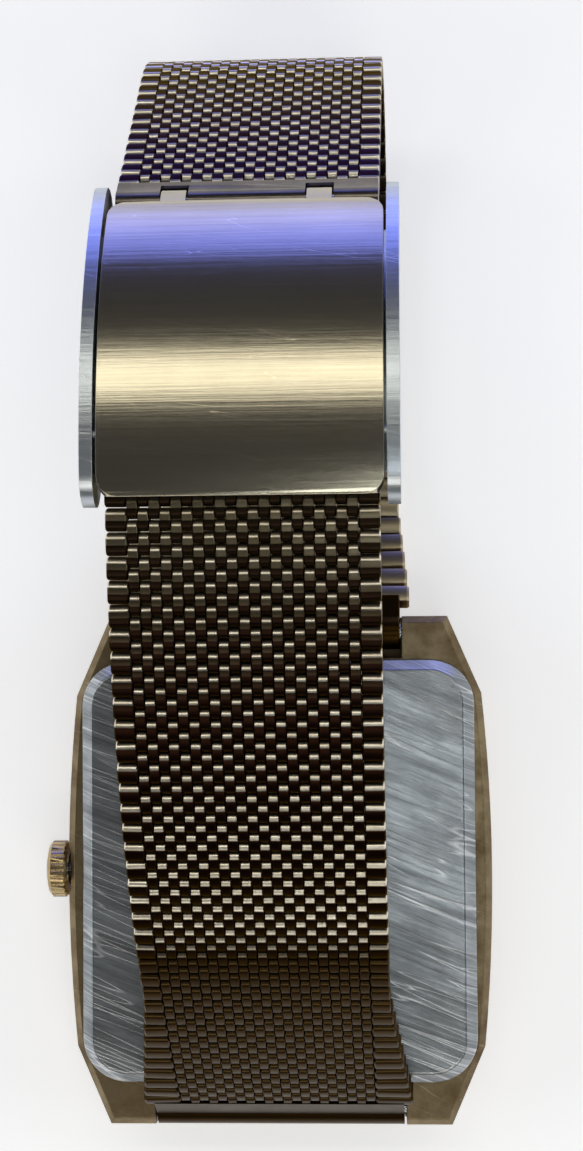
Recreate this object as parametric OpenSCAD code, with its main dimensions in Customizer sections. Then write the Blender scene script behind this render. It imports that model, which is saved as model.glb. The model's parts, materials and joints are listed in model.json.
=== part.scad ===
// Analog wristwatch with a cut-corner case and a flaring brick-link bracelet.
// The watch lies face down: the origin is the centre of the crystal's front face,
// Z rises out of the caseback, Y points to 12 o'clock and the crown is on the -X side.
// The bracelet is closed and leans over towards 12 o'clock.

/* [Case] */
// Width of the case across the middle of its barrel sides
case_w = 31.3; // [28:0.1:36]
// Length of the case from lug end to lug end
case_l = 37.2; // [34:0.1:42]
// Radius of the barrel-shaped long sides
case_side_r = 130; // [90:5:400]
// How far each cut corner reaches in from the side
corner_cut_x = 3.1; // [2:0.1:4]
// How far each cut corner reaches along the length
corner_cut_y = 5.7; // [4:0.1:7]
// Height of the case's front face above the crystal's face
case_front_z = 1.9; // [1.7:0.1:2.2]
// Height of the case's back face
case_back_z = 6; // [5.8:0.1:6.6]
// Chamfer round the case's back and front edges
case_chamfer = 0.5; // [0.2:0.05:0.8]
// Gap between the lugs
lug_gap = 18.4; // [17.5:0.1:19.5]
// Depth of the notch between the lugs
lug_notch = 3.1; // [2.8:0.1:3.4]
// Height of the spring bar above the crystal's face
lug_bar_z = 4.9; // [4.6:0.1:5]
// Distance from the lug end in to the spring bar
lug_bar_inset = 1.2; // [1.1:0.05:1.4]

/* [Caseback] */
// Width of the caseback plate
back_w = 28.9; // [26:0.1:29.5]
// Distance from the lug end in to the end of the caseback plate
back_end = 3.2; // [3.15:0.05:4.6]
// Corner radius of the caseback plate
back_r = 3.3; // [2:0.1:5]
// How far the caseback stands above the case
back_rise = 1.4; // [1:0.1:1.8]
// Bevel round the caseback's rim
back_bevel = 0.8; // [0.4:0.1:0.9]
// Depth of the snap skirt inside the case
back_skirt = 1; // [0.6:0.1:1.3]
// Thickness of the snap skirt
back_skirt_t = 0.7; // [0.5:0.1:1]

/* [Front] */
// Half width of the crystal's opening in the bezel
glass_half_w = 10.8; // [10:0.1:11.5]
// Half length of the crystal's opening in the bezel
glass_half_l = 13.4; // [12:0.1:14]
// Thickness of the crystal
crystal_t = 1.5; // [1.2:0.1:1.6]
// Bevel round the crystal's front edge
crystal_bevel = 0.35; // [0.2:0.05:0.6]
// How far the bezel lies behind the crystal's face
bezel_set_back = 0.35; // [0.2:0.05:0.6]
// Step from the case's outline in to the bezel's outline
bezel_step = 0.45; // [0.2:0.05:0.8]
// Slope width of the bezel's front
bezel_slope = 1.1; // [0.6:0.1:1.3]
// Width of the ledge that carries the crystal and the dial
ledge_w = 0.9; // [0.6:0.1:1.2]

/* [Dial and hands] */
// Thickness of the dial
dial_t = 0.3; // [0.2:0.05:0.4]
// Depth from the case's front ledge to the dial
dial_drop = 1; // [0.9:0.05:1.2]
// Height of the applied hour markers
marker_h = 0.25; // [0.15:0.05:0.3]
// Length of each hour marker
marker_l = 1.9; // [1.2:0.1:2.4]
// Width of each hour marker
marker_w = 0.55; // [0.3:0.05:0.8]
// Thickness of each hand
hand_t = 0.12; // [0.1:0.01:0.15]
// Gap between one hand and the next
hand_gap = 0.14; // [0.1:0.01:0.18]
// Length of the minute hand
minute_l = 9.6; // [8:0.1:10]
// Length of the hour hand
hour_l = 6.4; // [5:0.1:7]

/* [Movement] */
// Width of the movement's main plate
plate_w = 18.6; // [17:0.1:19.5]
// Length of the movement's main plate
plate_l = 22.4; // [20:0.1:23]
// Thickness of the main plate
plate_t = 0.6; // [0.5:0.05:0.8]
// Gap between the dial and the main plate
under_dial = 0.5; // [0.4:0.05:0.7]
// Diameter of the battery cell
cell_d = 7.9; // [6.8:0.1:9.5]
// Thickness of the battery cell
cell_t = 1.6; // [1.2:0.1:1.65]
// Diameter of the winding stem
stem_d = 0.9; // [0.7:0.05:1.1]

/* [Crown] */
// Diameter of the crown
crown_d = 4.2; // [3.6:0.1:4.2]
// Length of the crown outside the case
crown_l = 1.7; // [1.3:0.1:2.2]
// Gap between the crown and the case when it is pushed in
crown_gap = 0.12; // [0.05:0.01:0.3]
// Number of grip flutes round the crown
crown_flutes = 24; // [16:1:32]

/* [Bracelet links] */
// Width of one link column
column = 0.668; // [0.6:0.004:0.72]
// Number of inner link columns, which is odd
inner_columns = 21; // [17:2:23]
// Pitch from one row of links to the next
row_pitch = 1.48; // [1.4:0.01:1.56]
// Thickness of the links
link_t = 1.6; // [1.4:0.05:1.7]
// Gap between one link and the next in its column
link_gap = 0.16; // [0.14:0.01:0.2]
// Diameter of the link pins
pin_d = 0.32; // [0.28:0.01:0.34]
// Width of each edge link along the straight part of the strap
edge_w = 1.336; // [1.2:0.004:1.5]
// Width that each edge link gains at the lug
flare_w = 1.75; // [0.5:0.05:1.8]
// Length of strap over which the flare runs out
flare_l = 17; // [10:0.5:22]
// Thickness of a link's nose as a share of the link
nose_share = 0.54; // [0.4:0.02:0.7]

/* [Bracelet loop] */
// Angle at which the 6 o'clock strap leaves its lug
rise_start = 66; // [60:1:70]
// Angle of the 6 o'clock strap's long straight run
rise_run = 53; // [48:1:56]
// Angle at which the 12 o'clock strap drops from its lug
drop_angle = 26; // [20:1:28]
// Radius of the strap where the drop meets the table
drop_r = 8; // [6:0.5:9]
// Radius of the big bend beyond 12 o'clock
bend_r = 10.5; // [9.5:0.1:11.5]
// Turn of the big bend
bend_turn = 130; // [124:1:134]
// Gap between the resting strap and the table
table_gap = 0.03; // [0.01:0.01:0.06]

/* [Clasp] */
// Centre of the clasp's curve along Y
clasp_y = 28; // [26:0.5:30]
// Centre of the clasp's curve above the crystal's face
clasp_z = 15; // [13:0.5:17]
// Outer radius of the clasp cover
cover_r = 23.9; // [22.5:0.1:25.5]
// Thickness of the clasp cover
cover_t = 0.7; // [0.5:0.05:0.8]
// Width of the clasp cover
cover_w = 17.3; // [16.6:0.1:17.6]
// Gap from the cover down to the strap inside the clasp
cover_clear = 0.85; // [0.8:0.05:1]
// Angle of the cover's lower end on its curve
cover_from = -7.5; // [-9:0.5:-6]
// Angle of the cover's hinge pin on its curve
hinge_at = 44.5; // [42:0.5:46]
// Thickness of the side rails
rail_t = 0.8; // [0.6:0.05:1]
// Gap between the cover and each side rail
rail_gap = 0.16; // [0.1:0.01:0.25]
// How far the rails stand above the cover
rail_proud = 0.3; // [0.1:0.05:0.6]
// Thickness of the frame's base plate
base_t = 0.55; // [0.4:0.05:0.7]
// Radius of the hinge knuckles
knuckle_r = 0.85; // [0.75:0.05:0.95]
// Diameter of the clasp's hinge pin
hinge_pin_d = 0.8; // [0.6:0.05:0.9]

/* [Hidden] */
$fn = 48;
fit = 0.04;
slide_fit = 0.1;
big = 60;
over = 0.5;

function unit(h) = [cos(h), sin(h)];
function left(h) = [-sin(h), cos(h)];
function cross2(a, b) = a[0] * b[1] - a[1] * b[0];
function chord(len, turn) = turn == 0 ? len : len * sin(turn / 2) / (turn * PI / 360);
function step(pose, len, turn) =
    let (h = pose[1] + turn / 2)
    [pose[0] + chord(len, turn) * unit(h), pose[1] + turn];
function along(pose, path, s, i = 0) =
    (i == len(path) - 1 || s <= path[i][0])
    ? step(pose, s, path[i][1] * s / path[i][0])
    : along(step(pose, path[i][0], path[i][1]), path, s - path[i][0], i + 1);
function total(v, i = 0) = i == len(v) ? 0 : v[i] + total(v, i + 1);
function rows_before(v, n) = total([for (i = [0:1:n - 1]) v[i]]);
function place(pose, q) = pose[0] + q[0] * unit(pose[1]) + q[1] * left(pose[1]);

// Case levels
half_w = case_w / 2;
half_l = case_l / 2;
lug_bar_y = half_l - lug_bar_inset;
notch_y = half_l - lug_notch;
dial_z = case_front_z + dial_drop;
plate_z = dial_z + dial_t + under_dial;
cavity_half_w = glass_half_w + ledge_w / 2;
cavity_half_l = glass_half_l + ledge_w / 4;
cavity_cut = 2;
crown_z = (case_front_z + case_back_z) / 2;
back_z = case_back_z + back_rise;
back_l = case_l - 2 * back_end;

// Strap layout
half_pitch = row_pitch / 2;
inner_half = inner_columns * column / 2;
strap_half = inner_half + edge_w;
nose = nose_share * link_t / 2;
edge_drop = 0.02;
nose_x = half_pitch / 2 - link_gap / 2;
far_x = half_pitch / 2 + link_gap / 2;
shoulder_x = half_pitch;
barrel_r = 1.25;
barrel_half = lug_gap / 2 - 0.15;
bar_r = 0.75;
bar_tip_r = 0.4;
bar_tip_l = 0.7;

// Clasp layout
clasp_centre = [clasp_y, clasp_z];
cover_in = cover_r - cover_t;
tail_top = cover_in - cover_clear + 0.25;
tail_r = tail_top - link_t / 2;
base_out = tail_r - link_t / 2 - fit;
base_in = base_out - base_t;
rail_in_x = cover_w / 2 + rail_gap;
rail_out_x = rail_in_x + rail_t;
rail_r = cover_r + rail_proud;
hinge_r = cover_r - knuckle_r - 0.1;
function on_clasp(r, phi) = clasp_centre + r * [sin(phi), cos(phi)];
hinge_point = on_clasp(hinge_r, hinge_at);

// The 6 o'clock strap's centre line, which has to meet the clasp's curve
entry_at = cover_from + 0.5;
entry_point = on_clasp(tail_r, entry_at);
start_6 = [[-lug_bar_y, lug_bar_z], rise_start];
lead_l = 7;
slow_turn = 12;
slow_l = 16.8;
fast_turn = rise_run - slow_turn + entry_at;
lead_end = step(start_6, lead_l, rise_run - rise_start);
slow_chord = chord(slow_l, slow_turn) * unit(rise_run - slow_turn / 2);
run_dir = unit(rise_run);
fast_dir = unit(rise_run - slow_turn - fast_turn / 2);
gap_6 = entry_point - lead_end[0] - slow_chord;
run_l = cross2(gap_6, fast_dir) / cross2(run_dir, fast_dir);
fast_chord = cross2(run_dir, gap_6) / cross2(run_dir, fast_dir);
fast_l = fast_chord * (fast_turn * PI / 360) / sin(fast_turn / 2);
tail_l = 50 * PI / 180 * tail_r;
path_6 = [
    [lead_l, rise_run - rise_start],
    [run_l, 0],
    [slow_l, -slow_turn],
    [fast_l, -fast_turn],
    [tail_l, -50],
];
length_6 = lead_l + run_l + slow_l + fast_l;

// The 12 o'clock strap's centre line, from its lug to the clasp's hinge pin
table_z = link_t / 2 + table_gap;
start_12 = [[lug_bar_y, lug_bar_z], -drop_angle];
drop_l = (lug_bar_z - table_z - drop_r * (1 - cos(drop_angle))) / sin(drop_angle);
bend_end_z = table_z + bend_r * (1 - cos(bend_turn));
top_l = (hinge_point[1] - bend_end_z) / sin(bend_turn);
bend_y = hinge_point[0] - top_l * cos(bend_turn) - bend_r * sin(bend_turn);
flat_l = bend_y - lug_bar_y - drop_l * cos(drop_angle) - drop_r * sin(drop_angle);
path_12 = [
    [drop_l, 0],
    [drop_r * drop_angle * PI / 180, drop_angle],
    [flat_l, 0],
    [bend_r * bend_turn * PI / 180, bend_turn],
    [top_l, 0],
];
length_12 = total([for (p = path_12) p[0]]);

// Rows of links in each rigid length of strap, counted from the lug
rows_6 = [8, 6, 6, 6, 6, 4];
tail_rows = 11;
rows_12 = [4, 4, 6, 6, 3, 3, 3, 3, 3, 6, 5];
end_web = 1.9;
first_6 = length_6 - total(rows_6) * row_pitch + 0.9;
first_12 = length_12 - end_web - total(rows_12) * row_pitch + half_pitch;

// Small fixed sizes inside the case
notch_floor_z = 2.5;
lug_hole_x = lug_gap / 2 + 0.9;
tube_r = 0.85;
crown_in_x = -half_w - crown_gap;
crown_out_x = crown_in_x - crown_l;
crown_seat_x = -half_w + 0.15;
crown_edge = 0.25;
flute_r = 0.14;
seal_r = 1.2;
seal_t = 0.5;
stem_end_x = -5.6;
groove_x = -7.4;
groove_w = 0.5;
groove_r = 0.3;
lever_w = 1.1;
lever_l = 2.2;
gasket_w = 0.5;
ring_w = 0.25;
arbor_r = 0.3;
pipe_r = 0.6;
minute_w = 0.9;
hour_w = 1.1;
hand_tail = 1.6;
hour_z = dial_z - marker_h - hand_gap - hand_t;
minute_z = hour_z - hand_gap - hand_t;
holder_top = case_back_z - back_skirt - fit;
holder_ledge = 0.8;
cell_x = 3.6;
cell_y = -6;
foot_w = 0.9;
clamp_t = 0.2;
board_half = 8.4;
board_from = 2.2;
board_to = 10.2;
board_notch = 3;
board_z = plate_z + plate_t;
board_t = 0.3;
coil_y = 8.2;
coil_z = 5.25;
coil_r = 0.55;
coil_half = 5.2;
core_r = 0.25;
bridge_x = [-8.4, cell_x - cell_d / 2 - 2 * foot_w - slide_fit];
bridge_y = [-10, -1.8];
bridge_z = 5;
bridge_t = 0.4;
jewel_r = 0.25;

// Small fixed sizes in the clasp
rail_from = cover_from + 3.2;
rail_to = hinge_at - 1.2;
rail_low_r = base_in - 0.2;
rail_steps = 16;
nose_steps = 9;
cover_to = hinge_at - 2.5;
cover_corner = 1.2;
corner_step = 18;
tab_root = 3;
tab_in = 3.8;
tab_out = 5.4;
knuckle_gap = 0.1;
knuckle_out = 8.3;
cross_bar_d = 0.5;
cross_bar_at = 2;
cross_bar_r = (cover_in + tail_top) / 2;
flap_from = 12;
flap_to = 26;
flap_half = 5;
flap_barrel = 0.4;
flap_axis_r = base_out - 0.45;
flap_pin_d = 0.4;
flap_room = 1.5;
ear_w = 1;

function pose_at(side, s) = side == 6 ? along(start_6, path_6, s) : along(start_12, path_12, s);
function first_of(side) = side == 6 ? first_6 : first_12;
function pin_s(side, k) = first_of(side) + k * half_pitch;
function pin_pose(side, k) = pose_at(side, pin_s(side, k));
function edge_half(s) = strap_half + flare_w * max(0, 1 - s / flare_l);

// Joint places for the record: each pin between two rigid lengths
function hinge_pins(side, rows) = [for (n = [1:1:len(rows)]) pin_pose(side, 2 * rows_before(rows, n) - 1)];

module across(half, from = undef) {
    low = from == undef ? -half : from;
    translate([low, 0, 0])
        rotate([90, 0, 90])
            linear_extrude(half - low)
                children();
}

module rod(point, r, low, high) {
    translate([low, point[0], point[1]])
        rotate([0, 90, 0])
            cylinder(r = r, h = high - low);
}

module both_sides() {
    children();
    mirror([1, 0, 0])
        children();
}

module placed(pose, points) {
    polygon([for (q = points) place(pose, q)]);
}

// One link seen from the side: a block with a nose at each end
module link_outline(pose, half_len) {
    t = link_t / 2 - edge_drop;
    flat = half_len - (shoulder_x - far_x);
    placed(pose, [
        [-half_len, nose], [-flat, t], [flat, t], [half_len, nose],
        [half_len, -nose], [flat, -t], [-flat, -t], [-half_len, -nose],
    ]);
}

// A finger that reaches past its hinge pin: dir is 1 at the far end of a length and -1 at its near end
module finger_outline(pose, dir) {
    t = link_t / 2;
    placed(pose, [
        [-dir * shoulder_x, t], [0, t], [dir * nose_x, nose],
        [dir * nose_x, -nose], [0, -t], [-dir * shoulder_x, -t],
    ]);
}

// The inner body of a rigid length, from row a to row b, before its slots are cut
module core_outline(side, a, b, plain_start, plain_end) {
    t = link_t / 2;
    near = pin_pose(side, 2 * a - 1);
    far = pin_pose(side, 2 * b - 1);
    seams = [for (i = [a + 1:1:b - 1]) pose_at(side, pin_s(side, 2 * i) - half_pitch / 2)];
    near_up = plain_start ? [place(near, [far_x, t])]
                          : [place(near, [far_x, nose]), place(near, [shoulder_x, t])];
    near_down = plain_start ? [place(near, [far_x, -t])]
                            : [place(near, [shoulder_x, -t]), place(near, [far_x, -nose])];
    far_up = plain_end ? [place(far, [far_x, t])]
                       : [place(far, [-shoulder_x, t]), place(far, [-far_x, nose])];
    far_down = plain_end ? [place(far, [far_x, -t])]
                         : [place(far, [-far_x, -nose]), place(far, [-shoulder_x, -t])];
    polygon(concat(
        near_up,
        [for (p = seams) place(p, [0, t])],
        far_up,
        far_down,
        [for (n = [len(seams) - 1:-1:0]) place(seams[n], [0, -t])],
        near_down
    ));
}

// A through slot between two links of one column
module slot(side, s, x) {
    pose = pose_at(side, s);
    translate([x, pose[0][0], pose[0][1]])
        rotate([pose[1], 0, 0])
            cube([column, link_gap, link_t + 2 * over], center = true);
}

last_column = (inner_columns - 1) / 2;
main_columns = [for (j = [-last_column + 1:2:last_column - 1]) j * column];
alt_columns = [for (j = [-last_column:2:last_column]) j * column];

// A rigid length of brick links: rows a to b - 1, with alternate fingers at its near hinge pin
// and main fingers at its far one
module strap_length(side, a, b, near_hinge = true, far_hinge = true) {
    near = pin_pose(side, 2 * a - 1);
    far = pin_pose(side, 2 * b - 1);
    finger_half = column / 2 - 0.03;
    half_len = (row_pitch - link_gap) / 2;
    color("darkgoldenrod")
        difference() {
            union() {
                across(inner_half)
                    core_outline(side, a, b, !near_hinge, !far_hinge);
                for (i = [a:1:b - 1]) {
                    s = pin_s(side, 2 * i) + half_pitch / 2;
                    both_sides()
                        across(edge_half(s), inner_half)
                            link_outline(pose_at(side, s), half_len);
                }
                if (near_hinge) {
                    for (x = alt_columns)
                        across(x + finger_half, x - finger_half)
                            finger_outline(near, -1);
                    rod(near[0], pin_d / 2, -strap_half + 0.3, strap_half - 0.3);
                }
                if (far_hinge)
                    for (x = main_columns)
                        across(x + finger_half, x - finger_half)
                            finger_outline(far, 1);
            }
            for (i = [a + 1:1:b - 1]) {
                for (x = main_columns)
                    slot(side, pin_s(side, 2 * i) - half_pitch / 2, x);
                for (x = alt_columns)
                    slot(side, pin_s(side, 2 * i - 1) - half_pitch / 2, x);
            }
            if (far_hinge)
                rod(far[0], pin_d / 2 + fit, -strap_half + 0.3 - slide_fit, strap_half - 0.3 + slide_fit);
        }
}

// The length at a lug: a barrel round the spring bar, a short web and the first rows
module lug_length(side, b) {
    start = side == 6 ? start_6 : start_12;
    reach = pin_s(side, -1) + far_x;
    difference() {
        union() {
            strap_length(side, 0, b, near_hinge = false);
            color("darkgoldenrod") {
                rod(start[0], barrel_r, -barrel_half, barrel_half);
                across(barrel_half)
                    polygon([
                        place(start, [0, link_t / 2]),
                        place(pose_at(side, reach), [0, link_t / 2]),
                        place(pose_at(side, reach), [0, -link_t / 2]),
                        place(start, [0, -link_t / 2]),
                    ]);
            }
        }
        rod(start[0], bar_r + fit, -big, big);
    }
}

// A prism bounded by two slanted faces, chamfered along its long edges
module chamfered_slab(angle, half, z_low, z_high, low_ch, high_ch) {
    rotate([0, 0, angle])
        rotate([90, 0, 0])
            linear_extrude(2 * big, center = true)
                polygon(concat(
                    low_ch > 0 ? [[-half, z_low + low_ch], [-half + low_ch, z_low]] : [[-half, z_low]],
                    low_ch > 0 ? [[half - low_ch, z_low], [half, z_low + low_ch]] : [[half, z_low]],
                    high_ch > 0 ? [[half, z_high - high_ch], [half - high_ch, z_high]] : [[half, z_high]],
                    high_ch > 0 ? [[-half + high_ch, z_high], [-half, z_high - high_ch]] : [[-half, z_high]]
                ));
}

// A disc with chamfered rims, for the barrel sides
module chamfered_disc(r, z_low, z_high, low_ch, high_ch) {
    rotate_extrude($fn = 180)
        polygon(concat(
            [[0, z_low]],
            low_ch > 0 ? [[r - low_ch, z_low], [r, z_low + low_ch]] : [[r, z_low]],
            high_ch > 0 ? [[r, z_high - high_ch], [r - high_ch, z_high]] : [[r, z_high]],
            [[0, z_high]]
        ));
}

// The case's outline as a solid: barrel sides, straight ends and four cut corners
module case_form(inset, z_low, z_high, low_ch, high_ch) {
    side_y = half_l - corner_cut_y;
    side_x = half_w - (case_side_r - sqrt(case_side_r * case_side_r - side_y * side_y));
    end_x = half_w - corner_cut_x;
    cut_angle = atan2(side_x - end_x, half_l - side_y);
    cut_far = side_x * cos(cut_angle) + side_y * sin(cut_angle);
    intersection() {
        chamfered_slab(90, half_l - inset, z_low, z_high, low_ch, high_ch);
        chamfered_slab(cut_angle, cut_far - inset, z_low, z_high, low_ch, high_ch);
        chamfered_slab(-cut_angle, cut_far - inset, z_low, z_high, low_ch, high_ch);
        translate([case_side_r - half_w, 0, 0])
            chamfered_disc(case_side_r - inset, z_low, z_high, low_ch, high_ch);
        translate([half_w - case_side_r, 0, 0])
            chamfered_disc(case_side_r - inset, z_low, z_high, low_ch, high_ch);
    }
}

// A rectangular plate with cut corners and chamfered faces
module cut_plate(half_x, half_y, cut, z_low, z_high, low_ch = 0, high_ch = 0) {
    intersection() {
        chamfered_slab(0, half_x, z_low, z_high, low_ch, high_ch);
        chamfered_slab(90, half_y, z_low, z_high, low_ch, high_ch);
        chamfered_slab(45, (half_x + half_y - cut) / sqrt(2), z_low, z_high, low_ch, high_ch);
        chamfered_slab(-45, (half_x + half_y - cut) / sqrt(2), z_low, z_high, low_ch, high_ch);
    }
}

// A ring between two cut-corner outlines
module cut_ring(half_x, half_y, cut, wall, z_low, z_high) {
    difference() {
        cut_plate(half_x, half_y, cut, z_low, z_high);
        cut_plate(half_x - wall, half_y - wall, cut - wall / 2, z_low - over, z_high + over);
    }
}

module block(x, y, z) {
    translate([x[0], y[0], z[0]])
        cube([x[1] - x[0], y[1] - y[0], z[1] - z[0]]);
}

module post(x, y, r, z_low, z_high) {
    translate([x, y, z_low])
        cylinder(r = r, h = z_high - z_low);
}

module case_middle() {
    color("peru")
        difference() {
            case_form(0, case_front_z, case_back_z, 0, case_chamfer);
            cut_plate(glass_half_w - ledge_w, glass_half_l - ledge_w, cavity_cut, -over, dial_z + over);
            cut_plate(cavity_half_w, cavity_half_l, cavity_cut, dial_z, case_back_z + over);
            for (way = [-1, 1])
                translate([-lug_gap / 2, way > 0 ? notch_y : -notch_y - big, notch_floor_z])
                    cube([lug_gap, big, big]);
            for (way = [-1, 1])
                rod([way * lug_bar_y, lug_bar_z], bar_tip_r + fit, -lug_hole_x, lug_hole_x);
            rod([0, crown_z], tube_r, -big, -glass_half_w);
            rod([0, crown_z], crown_d / 2 + crown_gap, -big, crown_seat_x);
        }
}

module bezel() {
    color("darkgoldenrod")
        difference() {
            case_form(bezel_step, bezel_set_back, case_front_z, bezel_slope, 0);
            cut_plate(glass_half_w, glass_half_l, cavity_cut, -over, case_front_z + over);
        }
}

module crystal() {
    color("lightcyan", 0.4)
        cut_plate(glass_half_w - fit, glass_half_l - fit, cavity_cut, 0, crystal_t, crystal_bevel);
}

module crystal_gasket() {
    color("dimgray")
        cut_ring(glass_half_w - fit, glass_half_l - fit, cavity_cut, ledge_w, crystal_t, case_front_z);
}

module caseback() {
    wide = back_w / 2;
    long = back_l / 2;
    color("lightsteelblue") {
        difference() {
            union() {
                intersection() {
                    chamfered_slab(0, wide, case_back_z, back_z, 0, back_bevel);
                    block([-big, big], [-long + back_r, long - back_r], [0, big]);
                }
                intersection() {
                    chamfered_slab(90, long, case_back_z, back_z, 0, back_bevel);
                    block([-wide + back_r, wide - back_r], [-big, big], [0, big]);
                }
                for (x = [-1, 1])
                    for (y = [-1, 1])
                        translate([x * (wide - back_r), y * (long - back_r), 0])
                            chamfered_disc(back_r, case_back_z, back_z, 0, back_bevel);
                cut_ring(
                    cavity_half_w - fit, cavity_half_l - fit, cavity_cut,
                    back_skirt_t, case_back_z - back_skirt, case_back_z + fit
                );
            }
        }
    }
}

module caseback_gasket() {
    color("dimgray")
        cut_ring(
            cavity_half_w - fit - back_skirt_t, cavity_half_l - fit - back_skirt_t,
            cavity_cut - back_skirt_t / 2, gasket_w, case_back_z - gasket_w, case_back_z
        );
}

module dial() {
    color("ivory")
        difference() {
            cut_plate(cavity_half_w - fit, cavity_half_l - fit, cavity_cut, dial_z, dial_z + dial_t);
            post(0, 0, pipe_r + slide_fit, 0, big);
        }
}

// Distance from the centre to a cut-corner outline, in a direction turned from 12 o'clock
function outline_reach(half_x, half_y, cut, angle) =
    let (c = abs(cos(angle)), d = abs(sin(angle)))
    min(half_y / max(c, fit / big), half_x / max(d, fit / big), (half_x + half_y - cut) / (c + d));

module chapter_ring() {
    long = glass_half_l - ledge_w - marker_l - 3 * hand_gap;
    wide = glass_half_w - ledge_w - marker_l - 3 * hand_gap;
    color("goldenrod") {
        cut_ring(wide, long, cavity_cut, ring_w, dial_z - marker_h / 2, dial_z);
        for (hour = [0:1:11]) {
            from = outline_reach(wide, long, cavity_cut, 30 * hour) - ring_w / 2;
            rotate([0, 0, 30 * hour])
                block(
                    [-marker_w / 2, marker_w / 2], [from, from + marker_l],
                    [dial_z - marker_h, dial_z - fit]
                );
        }
    }
}

module hand(length, wide, tail, z_low) {
    translate([0, 0, z_low])
        linear_extrude(hand_t)
            polygon([
                [-wide / 3, -tail], [wide / 3, -tail], [wide / 2, length / 3],
                [0, length], [-wide / 2, length / 3],
            ]);
}

module minute_hand() {
    color("goldenrod") {
        hand(minute_l, minute_w, hand_tail, minute_z);
        post(0, 0, pipe_r, minute_z, minute_z + hand_t);
        post(0, 0, arbor_r, minute_z, plate_z + plate_t);
    }
}

module hour_hand() {
    color("goldenrod")
        difference() {
            union() {
                hand(hour_l, hour_w, hand_tail, hour_z);
                post(0, 0, pipe_r, hour_z, plate_z - hand_gap);
                post(0, 0, 2 * pipe_r, hour_z, hour_z + hand_t);
            }
            post(0, 0, arbor_r + fit, 0, big);
        }
}

module movement_holder() {
    color("whitesmoke")
        difference() {
            cut_plate(
                cavity_half_w - slide_fit, cavity_half_l - slide_fit, cavity_cut,
                dial_z + dial_t, holder_top
            );
            cut_plate(
                plate_w / 2 - holder_ledge, plate_l / 2 - holder_ledge, cavity_cut / 2,
                0, big
            );
            cut_plate(plate_w / 2 + fit, plate_l / 2 + fit, cavity_cut, plate_z, big);
            rod([0, crown_z], stem_d / 2 + slide_fit, -big, 0);
        }
}

module main_plate() {
    color("gold")
        difference() {
            cut_plate(plate_w / 2, plate_l / 2, cavity_cut, plate_z, plate_z + plate_t);
            post(0, 0, arbor_r + fit, 0, big);
            post(cell_x, cell_y, cell_d / 2 + slide_fit, 0, big);
            block([-big, stem_end_x + over], [-stem_d / 2 - slide_fit, stem_d / 2 + slide_fit], [0, big]);
        }
}

module battery() {
    color("silver") {
        post(cell_x, cell_y, cell_d / 2, plate_z + over, plate_z + cell_t);
        post(cell_x, cell_y, cell_d / 2 - over, plate_z, plate_z + cell_t);
    }
}

module battery_clamp() {
    foot_out = cell_d / 2 + 2 * foot_w;
    arm_z = plate_z + cell_t;
    color("silver")
        difference() {
            union() {
                block([cell_x - foot_out, cell_x + foot_out - over], [cell_y - foot_w, cell_y + foot_w],
                    [arm_z, arm_z + clamp_t]);
                block([cell_x - foot_out, cell_x - foot_out + foot_w], [cell_y - foot_w, cell_y + foot_w],
                    [plate_z + plate_t, arm_z + clamp_t]);
                block([cell_x + foot_out - over - foot_w / 2, cell_x + foot_out - over],
                    [cell_y - foot_w, cell_y + foot_w], [plate_z + plate_t, arm_z + clamp_t]);
            }
            post(cell_x, cell_y, foot_w / 2, 0, big);
        }
}

module circuit_board() {
    color("seagreen")
        difference() {
            block([-board_half, board_half], [board_from, board_to], [board_z, board_z + board_t]);
            block([-board_half / 2, board_half / 2], [-big, board_from + board_notch], [0, big]);
        }
}

module coil_core() {
    color("gray") {
        rod([coil_y, coil_z], core_r, -coil_half - foot_w, coil_half + foot_w);
        both_sides()
            block([coil_half, coil_half + foot_w], [coil_y - foot_w / 2, coil_y + foot_w / 2],
                [board_z + board_t, coil_z + core_r]);
    }
}

module drive_coil() {
    color("chocolate")
        difference() {
            rod([coil_y, coil_z], coil_r, -coil_half, coil_half);
            rod([coil_y, coil_z], core_r, -big, big);
        }
}

module train_bridge() {
    top = bridge_z + bridge_t;
    color("gold")
        difference() {
            union() {
                block([bridge_x[0], bridge_x[1]], [bridge_y[0], bridge_y[1]], [bridge_z, top]);
                for (x = [bridge_x[0] + foot_w, bridge_x[1] - foot_w])
                    post(x, bridge_y[0] + foot_w, foot_w / 2, plate_z + plate_t, top);
                post(bridge_x[0] + foot_w, bridge_y[1] - foot_w, foot_w / 2, plate_z + plate_t, top);
            }
            post(bridge_x[1] - foot_w, bridge_y[1] - foot_w, jewel_r, 0, big);
        }
}

module crown() {
    r = crown_d / 2;
    color("goldenrod")
        difference() {
            translate([0, 0, crown_z])
                rotate([0, 90, 0])
                    rotate_extrude()
                        polygon([
                            [0, crown_in_x], [r - crown_edge, crown_in_x], [r, crown_in_x - crown_edge],
                            [r, crown_out_x + 2 * crown_edge], [r - crown_edge, crown_out_x + crown_edge],
                            [r / 2, crown_out_x + crown_edge / 4], [0, crown_out_x],
                        ]);
            for (n = [0:1:crown_flutes - 1])
                rotate_about_crown(n * 360 / crown_flutes)
                    rod([r + flute_r / 2, crown_z], flute_r, crown_out_x + 2 * crown_edge, crown_in_x + over);
            rod([0, crown_z], stem_d / 2, crown_in_x - crown_l / 2, 0);
            rod([0, crown_z], seal_r, crown_in_x - seal_t, 0);
        }
}

module rotate_about_crown(angle) {
    translate([0, 0, crown_z])
        rotate([angle, 0, 0])
            translate([0, 0, -crown_z])
                children();
}

module crown_gasket() {
    color("dimgray")
        difference() {
            rod([0, crown_z], seal_r, crown_in_x - seal_t, crown_in_x - seal_t / 4);
            rod([0, crown_z], stem_d / 2, -big, 0);
        }
}

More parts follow.
